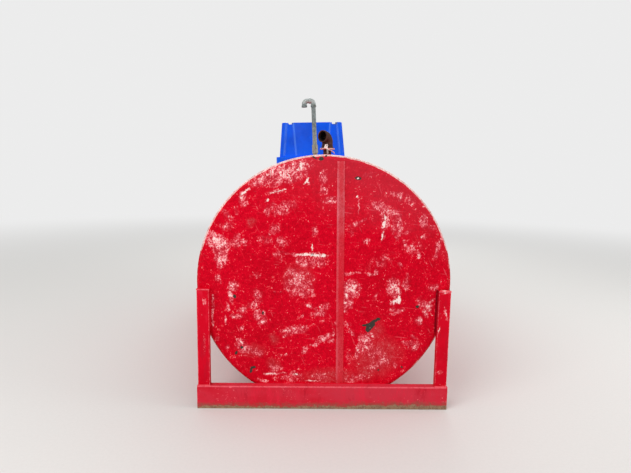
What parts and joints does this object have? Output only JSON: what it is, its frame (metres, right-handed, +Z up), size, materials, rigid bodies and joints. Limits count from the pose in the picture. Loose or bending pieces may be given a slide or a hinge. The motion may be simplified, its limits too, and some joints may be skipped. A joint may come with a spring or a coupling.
{
  "type": "horizontal storage tank",
  "caption": "Horizontal cylindrical steel tank with flat flanged heads on U-shaped end frames, with a gooseneck vent, a fill elbow and an upturned plastic cover on its crown.",
  "frame": {"origin": "on the ground under the middle of the tank", "axes": "+Z up; +Y along the tank, from the end with the fill elbow and the vent towards the end with the plastic cover; +X to the right seen from the front end"},
  "size_m": [1.6308, 2.841, 2.0908],
  "materials": {
    "tank_red_paint": "worn red paint, chipped and faded",
    "frame_red_paint": "worn red paint with earth stains low down",
    "galvanised_steel": "dull galvanised",
    "rusty_iron": "evenly rusted",
    "chipped_paint": "pale paint, chipped",
    "blue_plastic": "satin moulded plastic"
  },
  "bodies": {
    "root": {"shell_course_front": "tank_red_paint", "shell_course_middle": "tank_red_paint", "shell_course_rear": "tank_red_paint", "front_course_seam": "tank_red_paint", "middle_course_seam": "tank_red_paint", "rear_course_seam": "tank_red_paint", "front_girth_weld": "tank_red_paint", "rear_girth_weld": "tank_red_paint", "front_head_wide_plate": "tank_red_paint", "front_head_narrow_plate": "tank_red_paint", "front_head_strap": "tank_red_paint", "front_edge_weld": "tank_red_paint", "rear_head_wide_plate": "tank_red_paint", "rear_head_narrow_plate": "tank_red_paint", "rear_head_strap": "tank_red_paint", "rear_edge_weld": "tank_red_paint", "vent_bung": "tank_red_paint", "fill_bung": "tank_red_paint", "front_beam": "frame_red_paint", "front_left_post": "frame_red_paint", "front_right_post": "frame_red_paint", "rear_beam": "frame_red_paint", "rear_left_post": "frame_red_paint", "rear_right_post": "frame_red_paint", "vent_nipple": "galvanised_steel", "vent_coupling": "galvanised_steel", "vent_pipe": "galvanised_steel", "vent_elbow": "galvanised_steel", "vent_return_elbow": "galvanised_steel", "fill_neck": "rusty_iron", "fill_elbow": "rusty_iron", "fill_flange": "chipped_paint", "plastic_cover": "blue_plastic"}
  },
  "joints": []
}
